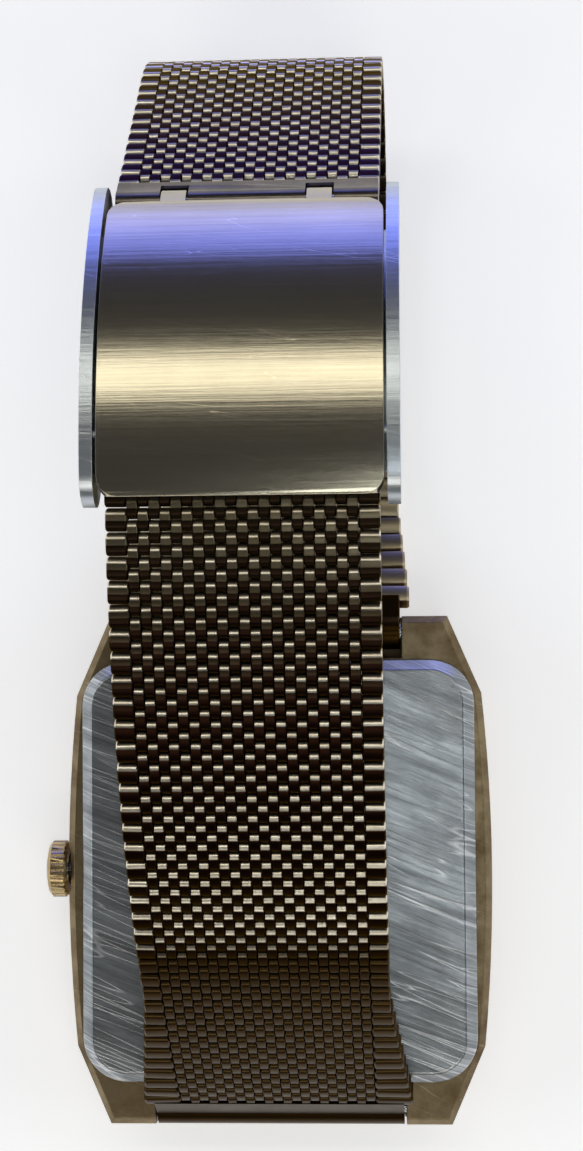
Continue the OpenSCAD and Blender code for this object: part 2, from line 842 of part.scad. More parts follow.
module stem() {
    color("silver")
        difference() {
            rod([0, crown_z], stem_d / 2, crown_in_x - crown_l / 2, stem_end_x);
            difference() {
                rod([0, crown_z], stem_d, groove_x, groove_x + groove_w);
                rod([0, crown_z], groove_r, -big, 0);
            }
        }
}

module crown_tube() {
    color("goldenrod")
        difference() {
            rod([0, crown_z], tube_r, crown_seat_x, -cavity_half_w);
            rod([0, crown_z], stem_d / 2 + fit, -big, 0);
        }
}

module setting_lever() {
    low = crown_z + stem_d / 2 + slide_fit;
    mid = groove_x + groove_w / 2;
    color("silver") {
        block([mid - lever_w / 2, mid + lever_l], [-lever_w, lever_w / 2], [low, low + clamp_t]);
        post(mid, 0, groove_w / 2 - fit, crown_z + groove_r + fit, low + clamp_t);
    }
}

module spring_bar(way) {
    at = [way * lug_bar_y, lug_bar_z];
    color("silver") {
        rod(at, bar_r, -lug_gap / 2 + slide_fit, lug_gap / 2 - slide_fit);
        rod(at, bar_tip_r, -lug_gap / 2 - bar_tip_l, lug_gap / 2 + bar_tip_l);
    }
}

// A band of the clasp's curve between two radii and two angles
module band(r_in, r_out, from, to) {
    intersection() {
        translate(clasp_centre)
            difference() {
                circle(r = r_out, $fn = 180);
                circle(r = r_in, $fn = 180);
            }
        polygon([clasp_centre, on_clasp(big, from), on_clasp(big, (from + to) / 2), on_clasp(big, to)]);
    }
}

module spot(r, phi, radius) {
    translate(on_clasp(r, phi))
        circle(r = radius);
}

// Points round one side rail: two long arcs and a round nose at each end
function rail_outline(mid_r, half, from, to) = concat(
    [for (n = [0:1:rail_steps]) on_clasp(mid_r + half, from + (to - from) * n / rail_steps)],
    [for (n = [1:1:nose_steps - 1])
        on_clasp(mid_r, to) + half * unit(90 - to - 180 * n / nose_steps)],
    [for (n = [rail_steps:-1:0]) on_clasp(mid_r - half, from + (to - from) * n / rail_steps)],
    [for (n = [1:1:nose_steps - 1])
        on_clasp(mid_r, from) + half * unit(270 - from - 180 * n / nose_steps)]
);

module clasp_frame() {
    mid_r = (rail_r + rail_low_r) / 2;
    end_r = (rail_r - rail_low_r) / 2;
    color("silver")
        difference() {
            union() {
                across(rail_in_x + over / 2)
                    band(base_in, base_out, rail_from, rail_to);
                both_sides()
                    across(rail_out_x, rail_in_x)
                        polygon(rail_outline(mid_r, end_r, rail_from, rail_to));
                both_sides()
                    across(flap_half + ear_w, flap_half + slide_fit)
                        spot(flap_axis_r, flap_from, flap_barrel);
            }
            across(flap_half + slide_fit)
                band(base_in - flap_barrel, base_out + over / 8, flap_from - flap_room, flap_to);
            rod(on_clasp(cross_bar_r, cross_bar_at), cross_bar_d / 2, -big, big);
            rod(on_clasp(flap_axis_r, flap_from), flap_pin_d / 2, -flap_half - ear_w, flap_half + ear_w);
        }
}

module clasp_cross_bar() {
    color("silver")
        rod(on_clasp(cross_bar_r, cross_bar_at), cross_bar_d / 2, -rail_out_x, rail_out_x);
}

module lock_flap_pin() {
    color("silver")
        rod(on_clasp(flap_axis_r, flap_from), flap_pin_d / 2, -flap_half - ear_w, flap_half + ear_w);
}

module lock_flap() {
    color("silver")
        difference() {
            across(flap_half - slide_fit) {
                band(base_in, base_out, flap_from, flap_to - flap_room);
                spot(flap_axis_r, flap_from, flap_barrel);
            }
            rod(on_clasp(flap_axis_r, flap_from), flap_pin_d / 2 + fit, -big, big);
        }
}

module clasp_cover() {
    color("khaki")
        difference() {
            union() {
                intersection() {
                    across(cover_w / 2)
                        band(cover_in, cover_r, cover_from, cover_to);
                    cover_plan();
                }
                both_sides()
                    across(tab_out, tab_in) {
                        band(cover_in, cover_r, cover_to - tab_root, hinge_at);
                        spot(hinge_r, hinge_at, knuckle_r);
                    }
            }
            rod(hinge_point, hinge_pin_d / 2 + fit, -big, big);
        }
}

// Rounds the cover's corners, seen square to its middle
module cover_plan() {
    mid = (cover_from + cover_to) / 2;
    span = cover_r * sin((cover_to - cover_from) / 2);
    corner = [cover_w / 2 - cover_corner, span - cover_corner];
    translate([0, clasp_y, clasp_z])
        rotate([-mid, 0, 0])
            linear_extrude(big)
                polygon([
                    for (quarter = [0:1:3])
                        for (turn = [0:corner_step:90])
                            [
                                (quarter == 0 || quarter == 3 ? 1 : -1) * corner[0]
                                    + cover_corner * cos(90 * quarter + turn),
                                (quarter < 2 ? 1 : -1) * corner[1] + cover_corner * sin(90 * quarter + turn),
                            ],
                ]);
}

module clasp_end_link() {
    last = pose_at(12, length_12);
    web_from = -end_web + far_x;
    web_to = -knuckle_r - slide_fit;
    t = link_t / 2;
    color("darkgoldenrod")
        difference() {
            union() {
                across(knuckle_out)
                    placed(last, [[web_from, t], [web_to, t], [web_to, -t], [web_from, -t]]);
                across(tab_in - knuckle_gap) {
                    placed(last, [[web_from, t], [0, t], [0, -t], [web_from, -t]]);
                    translate(last[0])
                        circle(r = knuckle_r);
                }
                both_sides()
                    across(knuckle_out, tab_out + knuckle_gap) {
                        placed(last, [[web_from, t], [0, t], [0, -t], [web_from, -t]]);
                        translate(last[0])
                            circle(r = knuckle_r);
                    }
            }
            rod(hinge_point, hinge_pin_d / 2, -big, big);
        }
}

module clasp_hinge_pin() {
    color("silver")
        rod(hinge_point, hinge_pin_d / 2, -knuckle_out, knuckle_out);
}

module strap(side, n) {
    rows = side == 6 ? concat(rows_6, [tail_rows]) : rows_12;
    a = rows_before(rows, n - 1);
    b = rows_before(rows, n);
    if (n == 1)
        lug_length(side, b);
    else
        strap_length(side, a, b, far_hinge = n < len(rows));
}

case_middle();
bezel();
crystal();
crystal_gasket();
caseback();
caseback_gasket();
dial();
chapter_ring();
minute_hand();
hour_hand();
movement_holder();
main_plate();
battery();
battery_clamp();
circuit_board();
coil_core();
drive_coil();
train_bridge();
crown();
crown_gasket();
stem();
crown_tube();
setting_lever();
spring_bar(1);  // spring_bar_12
spring_bar(-1);  // spring_bar_6
clasp_frame();
clasp_cross_bar();
clasp_cover();
clasp_end_link();
clasp_hinge_pin();
lock_flap();
lock_flap_pin();
strap(6, 1);  // strap6_1
strap(6, 2);  // strap6_2
strap(6, 3);  // strap6_3
strap(6, 4);  // strap6_4
strap(6, 5);  // strap6_5
strap(6, 6);  // strap6_6
strap(6, 7);  // strap6_7
strap(12, 1);  // strap12_1
strap(12, 2);  // strap12_2
strap(12, 3);  // strap12_3
strap(12, 4);  // strap12_4
strap(12, 5);  // strap12_5
strap(12, 6);  // strap12_6
strap(12, 7);  // strap12_7
strap(12, 8);  // strap12_8
strap(12, 9);  // strap12_9
strap(12, 10);  // strap12_10
strap(12, 11);  // strap12_11
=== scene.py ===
# %% [markdown]
# A vintage wristwatch lying on the crystal, seen from behind. The case, the caseback, the clasp
# and the hinges come from the solid model. This script gives them worn gold and brushed steel, and
# rebuilds the bracelet link by link so that every brick catches its own light, with a painted
# highlight on one end and painted shade on the rest.

# %% Load the solid model
import json
import math

import bmesh
import bpy
from mathutils import Matrix, Vector

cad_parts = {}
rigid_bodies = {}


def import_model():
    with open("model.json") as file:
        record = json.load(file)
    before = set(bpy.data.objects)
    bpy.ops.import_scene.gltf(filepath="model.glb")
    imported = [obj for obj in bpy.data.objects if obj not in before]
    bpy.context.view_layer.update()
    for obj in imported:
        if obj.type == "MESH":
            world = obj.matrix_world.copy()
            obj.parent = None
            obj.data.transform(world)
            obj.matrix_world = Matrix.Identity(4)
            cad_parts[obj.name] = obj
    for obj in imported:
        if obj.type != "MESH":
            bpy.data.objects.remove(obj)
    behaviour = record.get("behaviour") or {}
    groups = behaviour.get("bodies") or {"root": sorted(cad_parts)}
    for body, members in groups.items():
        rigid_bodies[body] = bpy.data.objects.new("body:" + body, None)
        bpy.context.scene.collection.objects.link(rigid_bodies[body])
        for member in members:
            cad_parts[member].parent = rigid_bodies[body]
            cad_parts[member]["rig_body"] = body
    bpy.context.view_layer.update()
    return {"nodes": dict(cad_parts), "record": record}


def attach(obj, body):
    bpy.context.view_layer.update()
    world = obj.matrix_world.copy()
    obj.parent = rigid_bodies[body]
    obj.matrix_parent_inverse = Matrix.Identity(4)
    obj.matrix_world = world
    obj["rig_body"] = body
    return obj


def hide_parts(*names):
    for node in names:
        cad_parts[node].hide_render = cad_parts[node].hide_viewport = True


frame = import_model()
MM = 0.001

# %% [markdown]
# The camera stands almost straight above the caseback, a little towards the six o'clock side,
# close enough that the top of the bracelet looks clearly bigger than the head below it.

# %% Camera
camera_data = bpy.data.cameras.new("camera")
camera_data.sensor_fit = "VERTICAL"
camera_data.sensor_height = 36.0
camera_data.lens = 70.37
camera_data.clip_start = 0.005
camera_data.clip_end = 5.0
camera = bpy.data.objects.new("camera", camera_data)
bpy.context.scene.collection.objects.link(camera)
right = Vector((0.9982, -0.0078, -0.0603)).normalized()
up = Vector((0.0107, 0.9988, 0.0487))
up = (up - up.dot(right) * right).normalized()
back = right.cross(up)
turned = Matrix((right, up, back)).transposed().to_4x4()
camera.matrix_world = Matrix.Translation(Vector((11.06, 13.47, 172.0)) * MM) @ turned
bpy.context.scene.camera = camera
print("camera height", round(camera.matrix_world.translation.z / MM, 1), "mm")

# %% [markdown]
# Polished metal shows what stands around it, so the studio is planned as a picture that the metal
# will reflect. The metal mirrors a sky that is dark overhead and pale at the horizon. A long warm
# strip lamp makes the bright band across the clasp, and together with a painted highlight in the
# links' finish it makes the glint on the end of each link. A low blue lamp behind twelve o'clock
# colours the top of the clasp, and two tall lamps draw the edges.
# The table is white, and it looks white to the camera, in the metal and through the glass alike.
# The camera itself sees none of the dark sky: for it the table fades to white in the distance,
# and what lies beyond the table is plain white.

# %% Small helpers for node trees
def feed(tree, socket, value):
    """Joins another node's socket to this one, or sets a plain value on it."""
    if isinstance(value, bpy.types.NodeSocket):
        tree.links.new(value, socket)
    else:
        socket.default_value = value


def calculate(tree, operation, first, second=0.0, clamp=False):
    node = tree.nodes.new("ShaderNodeMath")
    node.operation = operation
    node.use_clamp = clamp
    feed(tree, node.inputs[0], first)
    feed(tree, node.inputs[1], second)
    return node.outputs[0]


def remap(tree, value, from_low=0.0, from_high=1.0, to_low=0.0, to_high=1.0, smooth=False):
    """Maps one range to another and stays within it, on a straight or a smooth line."""
    node = tree.nodes.new("ShaderNodeMapRange")
    node.interpolation_type = "SMOOTHSTEP" if smooth else "LINEAR"
    for label, number in (("Value", value), ("From Min", from_low), ("From Max", from_high),
                          ("To Min", to_low), ("To Max", to_high)):
        feed(tree, node.inputs[label], number)
    return node.outputs[0]


def blend_colour(tree, factor, first, second, kind="MIX"):
    mix = tree.nodes.new("ShaderNodeMix")
    mix.data_type = "RGBA"
    mix.blend_type = kind
    for label, value in (("Factor", factor), ("A", first), ("B", second)):
        feed(tree, mix.inputs[label], value)
    return mix.outputs["Result"]


def new_material(name):
    """A material with nodes, its tree and its shader."""
    material = bpy.data.materials.new(name)
    material.use_nodes = True
    return material, material.node_tree, material.node_tree.nodes["Principled BSDF"]


# %% Table
TABLE_REACH = 1.5
TABLE_WHITE = (0.90, 0.90, 0.90, 1)
TABLE_GLOW = 0.45
FADE_FROM, FADE_TO, FADE_GLOW = 0.15, 0.6, 0.5
table_mesh = bpy.data.meshes.new("table")
corners = [(-TABLE_REACH, -TABLE_REACH, 0), (TABLE_REACH, -TABLE_REACH, 0),
           (TABLE_REACH, TABLE_REACH, 0), (-TABLE_REACH, TABLE_REACH, 0)]
table_mesh.from_pydata(corners, [], [(0, 1, 2, 3)])
table = bpy.data.objects.new("table", table_mesh)
bpy.context.scene.collection.objects.link(table)
table_white, tree, shader = new_material("table_white")
shader.inputs["Base Color"].default_value = TABLE_WHITE
shader.inputs["Roughness"].default_value = 0.8
shader.inputs["Emission Color"].default_value = (1, 1, 1, 1)
seen = tree.nodes.new("ShaderNodeLightPath").outputs
either = calculate(tree, "ADD", seen["Is Camera Ray"], seen["Is Glossy Ray"], clamp=True)
either = calculate(tree, "ADD", either, seen["Is Transmission Ray"], clamp=True)
near_glow = calculate(tree, "MULTIPLY", either, TABLE_GLOW)
from_watch = tree.nodes.new("ShaderNodeVectorMath")
from_watch.operation = "LENGTH"
tree.links.new(tree.nodes.new("ShaderNodeTexCoord").outputs["Object"], from_watch.inputs[0])
fade = remap(tree, from_watch.outputs["Value"], FADE_FROM, FADE_TO, 0.0, FADE_GLOW)
far_glow = calculate(tree, "MULTIPLY", fade, seen["Is Camera Ray"])
tree.links.new(calculate(tree, "ADD", near_glow, far_glow, clamp=True),
               shader.inputs["Emission Strength"])
table_mesh.materials.append(table_white)
print("table", 2 * TABLE_REACH, "m wide")

# %% Sky
SKY_LEVELS = ((0.0, 0.80), (0.04, 0.70), (0.16, 0.16), (0.28, 0.05))
ZENITH = (0.05, 0.05, 0.054, 1)
world = bpy.data.worlds.new("sky")
bpy.context.scene.world = world
world.use_nodes = True
tree = world.node_tree
parts = tree.nodes.new("ShaderNodeSeparateXYZ")
tree.links.new(tree.nodes.new("ShaderNodeTexCoord").outputs["Generated"], parts.inputs[0])
ramp = tree.nodes.new("ShaderNodeValToRGB")
stops = ramp.color_ramp.elements
for place, level in SKY_LEVELS:
    stop = stops[0] if place == 0.0 else stops.new(place)
    stop.position = place
    stop.color = (level, level, level * 1.03, 1)
stops[-1].color = ZENITH
tree.links.new(parts.outputs[2], ramp.inputs[0])
camera_ray = tree.nodes.new("ShaderNodeLightPath").outputs["Is Camera Ray"]
tree.links.new(blend_colour(tree, camera_ray, ramp.outputs[0], (1, 1, 1, 1)),
               tree.nodes["Background"].inputs["Color"])
tree.nodes["Background"].inputs["Strength"].default_value = 1.0
print("sky levels", len(stops))

# %% Lamps
LAMP_AIM = Vector((0.0, 0.02, 0.02))


def softbox(name, tilt, side, size, radiance, colour, distance=0.5):
    """Stands a lamp tilt degrees from straight up towards twelve o'clock, and side degrees off."""
    data = bpy.data.lights.new(name, "AREA")
    data.shape = "RECTANGLE"
    data.size, data.size_y = size
    data.energy = radiance * math.pi * size[0] * size[1]
    data.color = colour
    lamp = bpy.data.objects.new(name, data)
    bpy.context.scene.collection.objects.link(lamp)
    a, b = math.radians(tilt), math.radians(side)
    towards = Vector((math.sin(b), math.cos(b) * math.sin(a), math.cos(b) * math.cos(a)))
    across = Vector((math.cos(b), -math.sin(b) * math.sin(a), -math.sin(b) * math.cos(a)))
    lamp.matrix_world = Matrix.Translation(LAMP_AIM + towards * distance) @ Matrix(
        (across, towards.cross(across), towards)).transposed().to_4x4()
    lamp.visible_camera = False
    print(name, "at", [round(v, 3) for v in lamp.matrix_world.translation])


WARM, CREAM, COOL, ICE = (1.0, 0.97, 0.86), (1.0, 0.96, 0.88), (0.93, 0.98, 1.0), (0.86, 0.94, 1.0)
BLUE = (0.16, 0.21, 1.0)
softbox("strip_lamp", 28.5, 0, (1.0, 0.115), 2.15, WARM)
softbox("blue_lamp", 80, 0, (0.8, 0.17), 2.0, BLUE)
softbox("top_lamp", -7.5, 10, (0.045, 0.030), 4.6, COOL, distance=0.185)
softbox("back_lamp", -40, 0, (0.6, 0.18), 2.0, CREAM)
softbox("left_lamp", 5, -66, (0.13, 0.5), 2.2, ICE)
softbox("right_lamp", 5, 66, (0.13, 0.5), 2.2, ICE)
bpy.context.scene.view_settings.view_transform = "Standard"

# %% [markdown]
# Worn metal is told by a few effects that come back in every finish: fine lines from brushing,
# long stray scratches, and patches where the plating has gone dull. Each is a node group, so a
# finish only says how much of it there is and which way it runs.

# %% Node groups for the metal finishes
def new_group(name, inputs, outputs):
    group = bpy.data.node_groups.new(name, "ShaderNodeTree")
    for label, kind, value in inputs:
        socket = group.interface.new_socket(label, in_out="INPUT", socket_type=kind)
        if value is not None:
            socket.default_value = value
    for label, kind in outputs:
        group.interface.new_socket(label, in_out="OUTPUT", socket_type=kind)
    return group, group.nodes.new("NodeGroupInput"), group.nodes.new("NodeGroupOutput")


def grain(group, start, detail, roughness):
    """Noise on the turned place, squeezed across the grain and stretched along it."""
    turn = group.nodes.new("ShaderNodeVectorRotate")
    turn.rotation_type = "Z_AXIS"
    sizes = group.nodes.new("ShaderNodeCombineXYZ")
    stretch = group.nodes.new("ShaderNodeVectorMath")
    stretch.operation = "MULTIPLY"
    noise = group.nodes.new("ShaderNodeTexNoise")
    noise.inputs["Scale"].default_value = 1.0
    noise.inputs["Detail"].default_value = detail
    noise.inputs["Roughness"].default_value = roughness
    join = group.links.new
    join(start.outputs["Place"], turn.inputs["Vector"])
    join(start.outputs["Turn"], turn.inputs["Angle"])
    for number, label in enumerate(("Along", "Across", "Along")):
        join(start.outputs[label], sizes.inputs[number])
    join(turn.outputs[0], stretch.inputs[0])
    join(sizes.outputs[0], stretch.inputs[1])
    join(stretch.outputs[0], noise.inputs["Vector"])
    return noise.outputs["Fac"]


def brushing_group():
    """Fine parallel lines."""
    group, start, end = new_group(
        "brushing",
        [("Place", "NodeSocketVector", None), ("Turn", "NodeSocketFloat", 0.0),
         ("Along", "NodeSocketFloat", 60.0), ("Across", "NodeSocketFloat", 4000.0)],
        [("Lines", "NodeSocketFloat")],
    )
    lines = remap(group, grain(group, start, 4.0, 0.7), 0.34, 0.66)
    group.links.new(lines, end.inputs["Lines"])
    return group


def scratch_group():
    """Long stray scratches: only the thin crests of a strongly stretched noise are kept."""
    group, start, end = new_group(
        "scratches",
        [("Place", "NodeSocketVector", None), ("Turn", "NodeSocketFloat", 0.0),
         ("Along", "NodeSocketFloat", 45.0), ("Across", "NodeSocketFloat", 1500.0),
         ("Thin", "NodeSocketFloat", 0.014)],
        [("Mask", "NodeSocketFloat")],
    )
    middle = calculate(group, "SUBTRACT", grain(group, start, 0.0, 0.5), 0.5)
    crest = calculate(group, "ABSOLUTE", middle)
    group.links.new(remap(group, crest, 0.0, start.outputs["Thin"], 1.0, 0.0), end.inputs["Mask"])
    return group


def patina_group():
    """Soft patches of clean and worn plating, with their colour and a mask for the gloss."""
    group, start, end = new_group(
        "patina",
        [("Place", "NodeSocketVector", None), ("Scale", "NodeSocketFloat", 300.0),
         ("Balance", "NodeSocketFloat", 0.5), ("Softness", "NodeSocketFloat", 0.15),
         ("Clean", "NodeSocketColor", (0.6, 0.45, 0.22, 1)),
         ("Worn", "NodeSocketColor", (0.3, 0.2, 0.1, 1))],
        [("Color", "NodeSocketColor"), ("Mask", "NodeSocketFloat")],
    )
    noise = group.nodes.new("ShaderNodeTexNoise")
    noise.inputs["Detail"].default_value = 6.0
    noise.inputs["Roughness"].default_value = 0.65
    given = start.outputs
    group.links.new(given["Place"], noise.inputs["Vector"])
    group.links.new(given["Scale"], noise.inputs["Scale"])
    low = calculate(group, "SUBTRACT", given["Balance"], given["Softness"])
    high = calculate(group, "ADD", given["Balance"], given["Softness"])
    mask = remap(group, noise.outputs["Fac"], low, high)
    group.links.new(blend_colour(group, mask, given["Clean"], given["Worn"]), end.inputs["Color"])
    group.links.new(mask, end.inputs["Mask"])
    return group


BRUSHING = brushing_group()
SCRATCHES = scratch_group()
PATINA = patina_group()
print("groups", BRUSHING.name, SCRATCHES.name, PATINA.name)

# %% [markdown]
# The case looks like gold plate that years of wear have dulled, and the bezel is given the same.
# The caseback and the clasp's rails look like brushed steel, and the cover is a paler gold with a
# very fine brushing across it. One function could be written for each, but they differ only in
# amounts, so a single recipe takes the colours, the gloss, the brushing and the scratches.
# Moulded and painted pieces get a second, quieter recipe.

# %% Recipes for metal and for quiet pieces
RELIEF_DEPTH = 0.05 * MM
PIT_SCALE = 2200


def use_group(tree, group, place, **values):
    node = tree.nodes.new("ShaderNodeGroup")
    node.node_tree = group
    tree.links.new(place, node.inputs["Place"])
    for label, value in values.items():
        node.inputs[label].default_value = value
    return node


def add_relief(tree, shader, height, strength, depth=RELIEF_DEPTH):
    relief = tree.nodes.new("ShaderNodeBump")
    relief.inputs["Strength"].default_value = strength
    relief.inputs["Distance"].default_value = depth
    tree.links.new(height, relief.inputs["Height"])
    tree.links.new(relief.outputs["Normal"], shader.inputs["Normal"])


def metal(name, clean, worn, rough=(0.25, 0.45), patina=(260, 0.52, 0.14), brush=None,
          scratch=(), bump=0.12):
    """A worn metal: patches of clean and worn plating, brushed lines and stray scratches.

    patina is scale, balance and softness; brush is turn, along, across and how dark its lines
    are; scratch is a list of turn and thinness; rough goes from the clean to the worn patches.
    """
    material, tree, shader = new_material(name)
    shader.inputs["Metallic"].default_value = 1.0
    place = tree.nodes.new("ShaderNodeTexCoord").outputs["Object"]
    tone = use_group(tree, PATINA, place, Scale=patina[0], Balance=patina[1], Softness=patina[2],
                     Clean=(*clean, 1), Worn=(*worn, 1))
    colour = tone.outputs["Color"]
    height = None
    if brush:
        turn, run, across, depth = brush
        lines = use_group(tree, BRUSHING, place, Turn=turn, Along=run, Across=across)
        height = lines.outputs["Lines"]
        groove = tuple(0.55 * c for c in worn) + (1,)
        colour = blend_colour(tree, remap(tree, height, to_high=depth), colour, groove)
    for turn, thin in scratch:
        marks = use_group(tree, SCRATCHES, place, Turn=turn, Thin=thin).outputs["Mask"]
        bared = tuple(min(1, 1.5 * c + 0.05) for c in clean) + (1,)
        colour = blend_colour(tree, remap(tree, marks, to_high=0.5), colour, bared)
        height = calculate(tree, "SUBTRACT", 0.5 if height is None else height, marks)
    if height is None:
        pits = tree.nodes.new("ShaderNodeTexNoise")
        pits.inputs["Scale"].default_value = PIT_SCALE
        pits.inputs["Detail"].default_value = 3
        tree.links.new(place, pits.inputs["Vector"])
        height = pits.outputs["Fac"]
    add_relief(tree, shader, height, bump)
    tree.links.new(colour, shader.inputs["Base Color"])
    tree.links.new(remap(tree, tone.outputs["Mask"], to_low=rough[0], to_high=rough[1]),
                   shader.inputs["Roughness"])
    return material


def plain(name, colour, rough, depth=0.25, bump=0.05):
    """A quiet finish for moulded and painted pieces: a little mottling and a fine grain."""
    material, tree, shader = new_material(name)
    shader.inputs["Roughness"].default_value = rough
    place = tree.nodes.new("ShaderNodeTexCoord").outputs["Object"]
    tone = use_group(tree, PATINA, place, Scale=900, Balance=0.5, Softness=0.3,
                     Clean=(*colour, 1), Worn=(*[c * (1 - depth) for c in colour], 1))
    tree.links.new(tone.outputs["Color"], shader.inputs["Base Color"])
    add_relief(tree, shader, tone.outputs["Mask"], bump, 0.03 * MM)
    return material


# %% The finishes
FINISH = {
    "worn_gold_case": metal("worn_gold", (0.29, 0.225, 0.13), (0.165, 0.115, 0.06),
                            rough=(0.34, 0.46), patina=(330, 0.52, 0.12),
                            scratch=[(0.4, 0.005)], bump=0.1),
    "gold_bezel": metal("gold_bezel", (0.50, 0.38, 0.20), (0.30, 0.21, 0.11), rough=(0.2, 0.38)),
    "brushed_steel": metal("brushed_steel", (0.68, 0.72, 0.74), (0.26, 0.28, 0.29),
                           rough=(0.28, 0.38), patina=(160, 0.5, 0.24),
                           brush=(0.38, 90, 1500, 0.75),
                           scratch=[(0.42, 0.018), (0.34, 0.012)], bump=0.16),
    "bright_steel": metal("bright_steel", (0.58, 0.60, 0.62), (0.40, 0.42, 0.45),
                          rough=(0.22, 0.36)),
    "bronze_links": metal("bronze_links", (0.95, 0.89, 0.75), (0.80, 0.71, 0.55),
                          rough=(0.30, 0.36), patina=(420, 0.5, 0.2), bump=0.03),
    "cover_gold": metal("cover_gold", (0.60, 0.55, 0.42), (0.50, 0.45, 0.33),
                        rough=(0.17, 0.18), patina=(140, 0.55, 0.3),
                        brush=(0.0, 60, 5000, 0.25), scratch=[(0.20, 0.0015)], bump=0.05),
    "gold_plate": metal("gold_plate", (0.80, 0.62, 0.30), (0.62, 0.46, 0.2), rough=(0.15, 0.3)),
    "copper_wire": metal("copper_wire", (0.62, 0.28, 0.14), (0.4, 0.16, 0.08),
                         rough=(0.3, 0.5), patina=(900, 0.5, 0.2),
                         brush=(math.pi / 2, 200, 9000, 0.5)),
    "gasket": plain("gasket", (0.03, 0.03, 0.03), 0.7),
    "dial": plain("dial", (0.82, 0.77, 0.62), 0.4, depth=0.08, bump=0.02),
    "plastic": plain("plastic", (0.80, 0.80, 0.77), 0.5, depth=0.1),
    "board": plain("board", (0.05, 0.24, 0.11), 0.4, depth=0.35),
}
RAIL_STEEL = metal("rail_steel", (0.66, 0.71, 0.74), (0.50, 0.54, 0.58), rough=(0.26, 0.34),
                   patina=(160, 0.5, 0.3), brush=(0.0, 60, 2600, 0.3), scratch=[(0.30, 0.004)])
HINGE_GOLD = metal("hinge_gold", (0.20, 0.175, 0.15), (0.12, 0.105, 0.09), rough=(0.18, 0.28),
                   patina=(420, 0.5, 0.2), brush=(0.0, 80, 4200, 0.3))
FINISH["crystal"], tree, shader = new_material("crystal")
shader.inputs["Base Color"].default_value = (0.97, 0.99, 1.0, 1)
shader.inputs["Roughness"].default_value = 0.04
shader.inputs["Transmission Weight"].default_value = 1.0
shader.inputs["IOR"].default_value = 1.5
print("finishes", len(FINISH))

# %% Every node gets its finish
slot_of = {entry["node"]: entry["material_slot"] for entry in frame["record"]["subparts"]}
for name, node in frame["nodes"].items():
    node.data.materials.clear()
    node.data.materials.append(FINISH[slot_of[name]])
print("dressed nodes", len(slot_of))

# %% [markdown]
# The solid model has knife-sharp edges. Years in a pocket or on a wrist round them, and a
# rounded edge is what catches a thin line of light. So the big outside pieces are copied,
# their loose triangles are merged into faces, and a small bevel is added.

# %% Outside pieces with rounded edges
MERGE_WITHIN = 0.4e-6
FLAT_WITHIN = math.radians(0.6)
SHARP_FROM = math.radians(28)
OWN_FINISH = {"clasp_frame": RAIL_STEEL, "lock_flap": RAIL_STEEL, "clasp_end_link": HINGE_GOLD}


def softened(node, radius):
    source = frame["nodes"][node]
    shape = bmesh.new()
    shape.from_mesh(source.data)
    bmesh.ops.remove_doubles(shape, verts=shape.verts, dist=MERGE_WITHIN)
    bmesh.ops.dissolve_limit(shape, angle_limit=FLAT_WITHIN, verts=shape.verts,
                             edges=shape.edges)
    mesh = bpy.data.meshes.new(node + "_soft")
    shape.to_mesh(mesh)
    shape.free()
    piece = bpy.data.objects.new(node + "_soft", mesh)
    bpy.context.scene.collection.objects.link(piece)
    mesh.polygons.foreach_set("use_smooth", [True] * len(mesh.polygons))
    mesh.set_sharp_from_angle(angle=SHARP_FROM)
    bevel = piece.modifiers.new("edge", "BEVEL")
    bevel.width = radius * MM
    bevel.segments = 3
    bevel.limit_method = "ANGLE"
    bevel.angle_limit = SHARP_FROM
    bevel.harden_normals = True
    mesh.materials.append(OWN_FINISH.get(node, FINISH[slot_of[node]]))
    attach(piece, source["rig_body"])
    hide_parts(node)
    return piece


for node, radius in (
    ("case_middle", 0.12), ("caseback", 0.14), ("bezel", 0.12), ("crown", 0.07),
    ("clasp_cover", 0.12), ("clasp_frame", 0.16), ("clasp_end_link", 0.1), ("lock_flap", 0.08),
):
    piece = softened(node, radius)
    print(piece.name, len(piece.data.polygons))

# %% [markdown]
# The bracelet is woven from small brick links on pins. Alternate columns are shifted by half a
# link, and one wider link closes each edge. The middle line of the strap is a chain of
# straight runs and arcs, so one function gives the place and the slope at any distance from
# the lug, and the links of each hinged length become points for Geometry Nodes.

# %% The strap's middle line
COLUMN = 0.668
COLUMNS = 21
PITCH = 1.48
HALF_PITCH = PITCH / 2
THICK = 1.6
EDGE = 1.336
FLARE = 1.75
FLARE_LENGTH = 17.0
STRAP_HALF = COLUMN * COLUMNS / 2 + EDGE


def chord(length, turn):
    """The straight distance between the ends of an arc that turns so many degrees."""
    half = math.radians(turn) / 2
    return length if turn == 0 else length * math.sin(half) / half


def step(pose, length, turn):
    """The place and heading after one straight run or arc."""
    y, z, heading = pose
    middle = math.radians(heading + turn / 2)
    reach = chord(length, turn)
    return (y + reach * math.cos(middle), z + reach * math.sin(middle), heading + turn)


def along(start, path, s):
    """The place and heading at s millimetres along a path of runs and arcs."""
    pose = start
    for index, (length, turn) in enumerate(path):
        if s <= length or index == len(path) - 1:
            return step(pose, s, turn * s / length)
        pose = step(pose, length, turn)
        s -= length
    return pose


LUG_Y = 17.4
LUG_Z = 4.9
CLASP = (28.0, 15.0)
TAIL_RADIUS = 21.8
HINGE_RADIUS = 22.95
HINGE_AT = 44.5
ENTRY_AT = -7.0


def cross(a, b):
    return a[0] * b[1] - a[1] * b[0]


def unit(heading):
    return (math.cos(math.radians(heading)), math.sin(math.radians(heading)))


def on_clasp(radius, angle):
    """A point of an arc round the clasp's centre, angle degrees from its top."""
    return (CLASP[0] + radius * math.sin(math.radians(angle)),
            CLASP[1] + radius * math.cos(math.radians(angle)))


